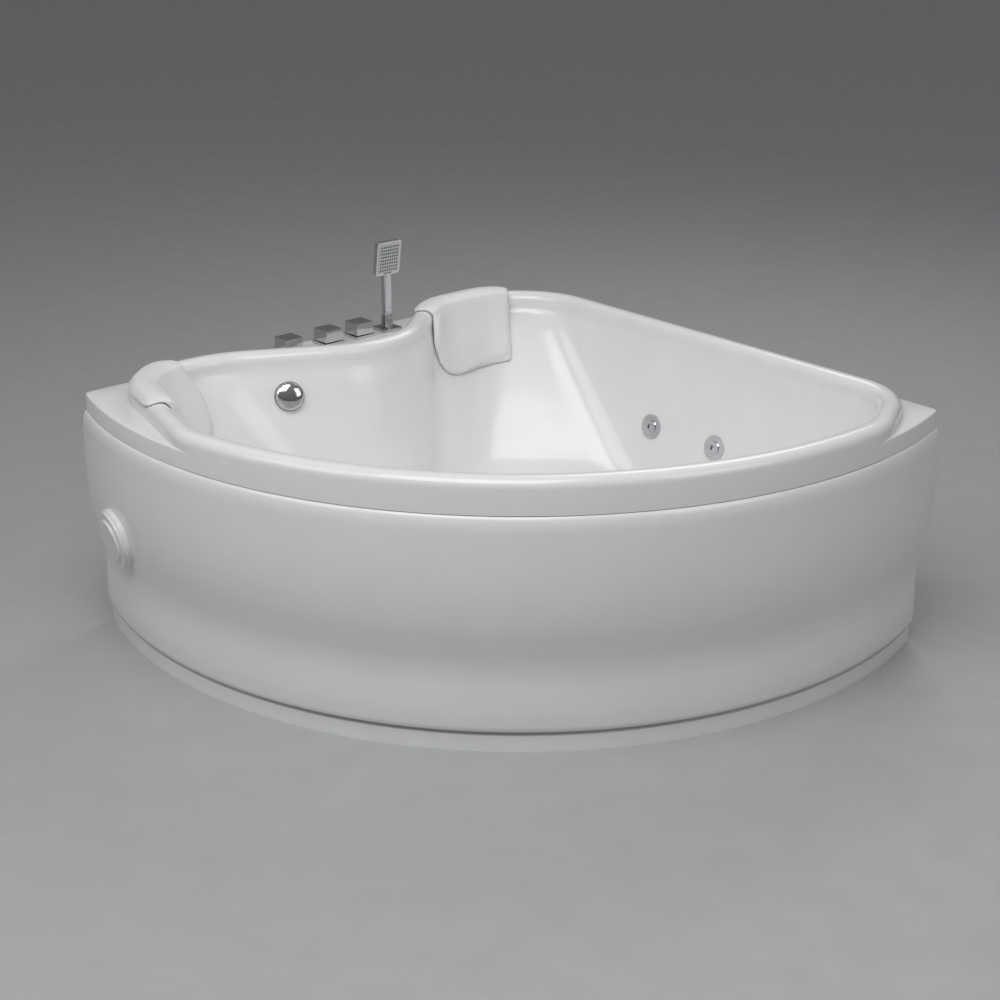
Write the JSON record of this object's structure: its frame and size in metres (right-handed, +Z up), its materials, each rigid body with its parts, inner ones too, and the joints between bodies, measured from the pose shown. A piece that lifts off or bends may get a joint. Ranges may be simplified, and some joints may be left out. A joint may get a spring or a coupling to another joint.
{
  "type": "corner jetted bathtub",
  "caption": "Corner bathtub with a moulded basin, rolled rim, bowed apron, hanging headrests, deck controls, hand shower, pop-up waste and water jets.",
  "frame": {"origin": "bottom centre of the bounding box, on the floor under the feet", "axes": "+X to the right along the front, +Y towards the room corner, +Z up"},
  "size_m": [2.1354, 1.7152, 0.892],
  "materials": {
    "acrylic": "gloss",
    "trim": "satin",
    "pad": "soft skin over foam",
    "chrome": "polished",
    "holder": "polished",
    "face": "satin",
    "brass": "cast",
    "pipe": "matte",
    "pump": "matte",
    "motor": "satin",
    "frame": "satin",
    "steel": "zinc plated",
    "foot": "matte",
    "board": "raw board"
  },
  "bodies": {
    "tub": {"tub_shell": "acrylic", "front_apron": "acrylic", "plinth": "acrylic", "hatch_collar": "trim", "apron_clips": "steel", "base_board": "board", "steel_frame": "frame", "foot_pads": "foot", "foot_studs": "steel", "wall_rings": "chrome", "wall_bodies": "pipe", "pump_pipes": "pipe", "pump_volute": "pump", "pump_motor": "motor", "pump_base": "frame", "waste_rings": "chrome", "waste_bodies": "pipe", "waste_pipes": "pipe", "valve_bodies": "brass", "deck_plates": "chrome", "deck_nuts": "brass", "shower_holder": "holder", "headrest_back": "pad", "headrest_left": "pad"},
    "hatch": {"hatch_cover": "trim"},
    "knob": {"overflow_knob": "chrome"},
    "plug": {"drain_plug": "chrome"},
    "cold": {"cold_handle": "chrome"},
    "hot": {"hot_handle": "chrome"},
    "diverter": {"diverter_handle": "chrome"},
    "shower": {"hand_shower": "chrome", "shower_face": "face"},
    "button": {"air_button": "trim"},
    "jet_1": {"jet_nozzle_1": "chrome"},
    "jet_2": {"jet_nozzle_2": "chrome"},
    "jet_3": {"jet_nozzle_3": "chrome"},
    "jet_4": {"jet_nozzle_4": "chrome"},
    "jet_5": {"jet_nozzle_5": "chrome"}
  },
  "joints": [
    {"name": "hatch_pull", "type": "slide", "parent": "tub", "child": "hatch", "axis": [-0.7899, -0.5824, -0.1922], "range_m": [0, 0.06]},
    {"name": "knob_turn", "type": "hinge", "parent": "tub", "child": "knob", "pos_m": [-0.58185, 0.03233, 0.56], "axis": [0.3016, -0.8958, 0.3264], "range_deg": [0, 90]},
    {"name": "plug_lift", "type": "slide", "parent": "tub", "child": "plug", "axis": [0, 0, 1], "range_m": [0, 0.012]},
    {"name": "cold_turn", "type": "hinge", "parent": "tub", "child": "cold", "pos_m": [-0.43911, 0.35332, 0.635], "axis": [0, 0, 1], "range_deg": [0, 90]},
    {"name": "hot_turn", "type": "hinge", "parent": "tub", "child": "hot", "pos_m": [-0.51407, 0.27836, 0.635], "axis": [0, 0, 1], "range_deg": [0, 90]},
    {"name": "diverter_turn", "type": "hinge", "parent": "tub", "child": "diverter", "pos_m": [-0.60599, 0.18644, 0.635], "axis": [0, 0, 1], "range_deg": [0, 90]},
    {"name": "shower_lift", "type": "slide", "parent": "tub", "child": "shower", "axis": [0, 0, 1], "range_m": [0, 0.12]},
    {"name": "button_press", "type": "slide", "parent": "tub", "child": "button", "axis": [0, 0, -1], "range_m": [0, 0.003], "stiffness_N_per_m": 400},
    {"name": "jet_1_turn", "type": "hinge", "parent": "tub", "child": "jet_1", "pos_m": [-0.22347, -0.71211, 0.4], "axis": [0.2031, 0.9553, 0.2147], "range_deg": [0, 90]},
    {"name": "jet_2_turn", "type": "hinge", "parent": "tub", "child": "jet_2", "pos_m": [0.22347, -0.71211, 0.4], "axis": [-0.2031, 0.9553, 0.2147], "range_deg": [0, 90]},
    {"name": "jet_3_turn", "type": "hinge", "parent": "tub", "child": "jet_3", "pos_m": [0.70444, -0.0163, 0.4], "axis": [-0.6906, -0.6906, 0.2147], "range_deg": [0, 90]},
    {"name": "jet_4_turn", "type": "hinge", "parent": "tub", "child": "jet_4", "pos_m": [0.53908, 0.14905, 0.4], "axis": [-0.6906, -0.6906, 0.2147], "range_deg": [0, 90]},
    {"name": "jet_5_turn", "type": "hinge", "parent": "tub", "child": "jet_5", "pos_m": [0.37372, 0.31441, 0.4], "axis": [-0.6906, -0.6906, 0.2147], "range_deg": [0, 90]}
  ],
  "couplings": [
    {"joint": "plug_lift", "follows": "knob_turn", "m_per_rad": 0.0076}
  ]
}
